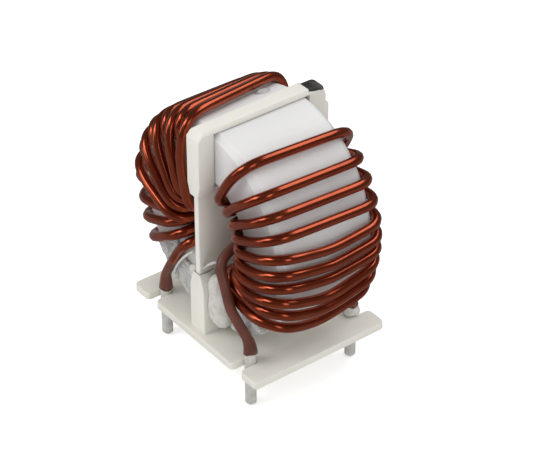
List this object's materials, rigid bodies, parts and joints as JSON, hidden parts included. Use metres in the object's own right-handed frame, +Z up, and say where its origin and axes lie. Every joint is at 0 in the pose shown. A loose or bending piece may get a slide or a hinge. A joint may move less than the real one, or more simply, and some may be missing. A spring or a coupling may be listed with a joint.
{
  "type": "common mode filter",
  "caption": "Upright ring-core filter choke: two enamelled copper coils on a white case, split by a plastic wall, on a small base plate with tinned wire ends for a board.",
  "frame": {"origin": "centre of the base plate's underside", "axes": "+X across the two coils towards the right one, +Y along the ring's axis to the back, +Z up from the board"},
  "size_m": [0.0442, 0.0286, 0.0513],
  "materials": {
    "moulding": "satin",
    "case": "satin",
    "core": "matt",
    "enamel": "gloss",
    "tin": "satin",
    "adhesive": "gloss",
    "mark": "matt"
  },
  "bodies": {
    "root": {"base": "moulding", "separator_plate": "moulding", "top_cap": "moulding", "orientation_mark": "mark", "core_case": "case", "core_case_lid": "case", "magnetic_core": "core", "winding_right": "enamel", "winding_left": "enamel", "tinned_end_front_left": "tin", "adhesive_front_left": "adhesive", "tinned_end_front_right": "tin", "adhesive_front_right": "adhesive", "tinned_end_back_left": "tin", "adhesive_back_left": "adhesive", "tinned_end_back_right": "tin", "adhesive_back_right": "adhesive"}
  },
  "joints": []
}
